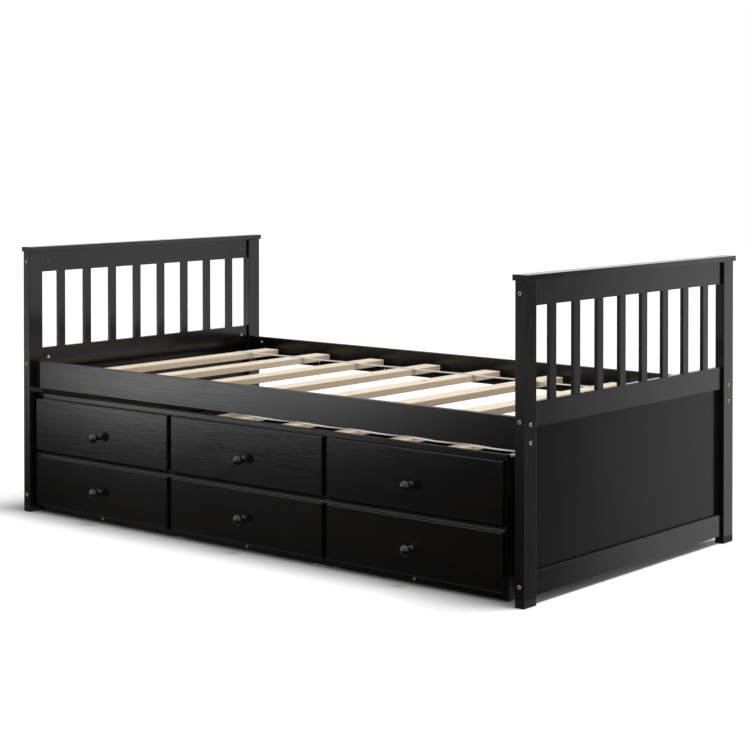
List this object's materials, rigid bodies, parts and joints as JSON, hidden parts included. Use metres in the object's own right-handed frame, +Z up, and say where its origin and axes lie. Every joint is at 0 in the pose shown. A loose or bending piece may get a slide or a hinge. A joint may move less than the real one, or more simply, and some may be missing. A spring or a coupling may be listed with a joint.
{
  "type": "trundle bed",
  "caption": "Twin captain's bed with slatted headboard and footboard, and a roll-out trundle on casters with a row of drawers under a row of false fronts.",
  "frame": {"origin": "On the floor, at the centre of the whole object's bounding box with the trundle closed, knobs included.", "axes": "+X along the bed from the headboard to the footboard, -Y towards the drawer fronts, +Z up."},
  "size_m": [2.019, 1.098, 0.8625],
  "materials": {
    "espresso_wood": "satin espresso lacquer",
    "knob_lacquer": "gloss dark lacquer",
    "pine": "unfinished sanded pine",
    "webbing": "woven webbing",
    "zinc_steel": "zinc plated",
    "black_plastic": "moulded"
  },
  "bodies": {
    "bed": {"head_post_front": "espresso_wood", "head_post_back": "espresso_wood", "head_cap": "espresso_wood", "head_grille": "espresso_wood", "head_bottom_rail": "espresso_wood", "head_panel": "espresso_wood", "head_glide_front": "black_plastic", "head_glide_back": "black_plastic", "foot_post_front": "espresso_wood", "foot_post_back": "espresso_wood", "foot_cap": "espresso_wood", "foot_grille": "espresso_wood", "foot_bottom_rail": "espresso_wood", "foot_panel": "espresso_wood", "foot_glide_front": "black_plastic", "foot_glide_back": "black_plastic", "side_rail_front": "espresso_wood", "slat_ledge_front": "espresso_wood", "side_rail_back": "espresso_wood", "slat_ledge_back": "espresso_wood", "bed_slat_1": "pine", "bed_slat_2": "pine", "bed_slat_3": "pine", "bed_slat_4": "pine", "bed_slat_5": "pine", "bed_slat_6": "pine", "bed_slat_7": "pine", "bed_slat_8": "pine", "slat_ribbon_front": "webbing", "slat_ribbon_back": "webbing"},
    "trundle": {"trundle_face": "espresso_wood", "trundle_moulding": "espresso_wood", "trundle_end_left": "espresso_wood", "trundle_end_right": "espresso_wood", "trundle_back_rail": "espresso_wood", "drawer_carcass": "espresso_wood", "trundle_slat_mat": "pine", "upper_front_left": "espresso_wood", "upper_knob_left": "knob_lacquer", "upper_front_middle": "espresso_wood", "upper_knob_middle": "knob_lacquer", "upper_front_right": "espresso_wood", "upper_knob_right": "knob_lacquer", "caster_fork_front_left": "zinc_steel", "caster_fork_front_right": "zinc_steel", "caster_fork_back_left": "zinc_steel", "caster_fork_back_right": "zinc_steel"},
    "drawer_left": {"drawer_front_left": "espresso_wood", "drawer_tray_left": "espresso_wood", "drawer_knob_left": "knob_lacquer"},
    "drawer_middle": {"drawer_front_middle": "espresso_wood", "drawer_tray_middle": "espresso_wood", "drawer_knob_middle": "knob_lacquer"},
    "drawer_right": {"drawer_front_right": "espresso_wood", "drawer_tray_right": "espresso_wood", "drawer_knob_right": "knob_lacquer"},
    "wheel_front_left": {"caster_wheel_front_left": "black_plastic"},
    "wheel_front_right": {"caster_wheel_front_right": "black_plastic"},
    "wheel_back_left": {"caster_wheel_back_left": "black_plastic"},
    "wheel_back_right": {"caster_wheel_back_right": "black_plastic"}
  },
  "joints": [
    {"name": "trundle_roll", "type": "slide", "parent": "bed", "child": "trundle", "axis": [0, -1, 0], "range_m": [0, 1.01]},
    {"name": "drawer_left_slide", "type": "slide", "parent": "trundle", "child": "drawer_left", "axis": [0, -1, 0], "range_m": [0, 0.33]},
    {"name": "drawer_middle_slide", "type": "slide", "parent": "trundle", "child": "drawer_middle", "axis": [0, -1, 0], "range_m": [0, 0.33]},
    {"name": "drawer_right_slide", "type": "slide", "parent": "trundle", "child": "drawer_right", "axis": [0, -1, 0], "range_m": [0, 0.33]},
    {"name": "wheel_front_left_spin", "type": "hinge", "parent": "trundle", "child": "wheel_front_left", "pos_m": [-0.932, -0.434, 0.02], "axis": [1, 0, 0], "continuous": true},
    {"name": "wheel_front_right_spin", "type": "hinge", "parent": "trundle", "child": "wheel_front_right", "pos_m": [0.8952, -0.434, 0.02], "axis": [1, 0, 0], "continuous": true},
    {"name": "wheel_back_left_spin", "type": "hinge", "parent": "trundle", "child": "wheel_back_left", "pos_m": [-0.932, 0.4295, 0.02], "axis": [1, 0, 0], "continuous": true},
    {"name": "wheel_back_right_spin", "type": "hinge", "parent": "trundle", "child": "wheel_back_right", "pos_m": [0.8952, 0.4295, 0.02], "axis": [1, 0, 0], "continuous": true}
  ],
  "couplings": [
    {"joint": "wheel_front_left_spin", "follows": "trundle_roll", "rad_per_m": 50},
    {"joint": "wheel_front_right_spin", "follows": "trundle_roll", "rad_per_m": 50},
    {"joint": "wheel_back_left_spin", "follows": "trundle_roll", "rad_per_m": 50},
    {"joint": "wheel_back_right_spin", "follows": "trundle_roll", "rad_per_m": 50}
  ]
}
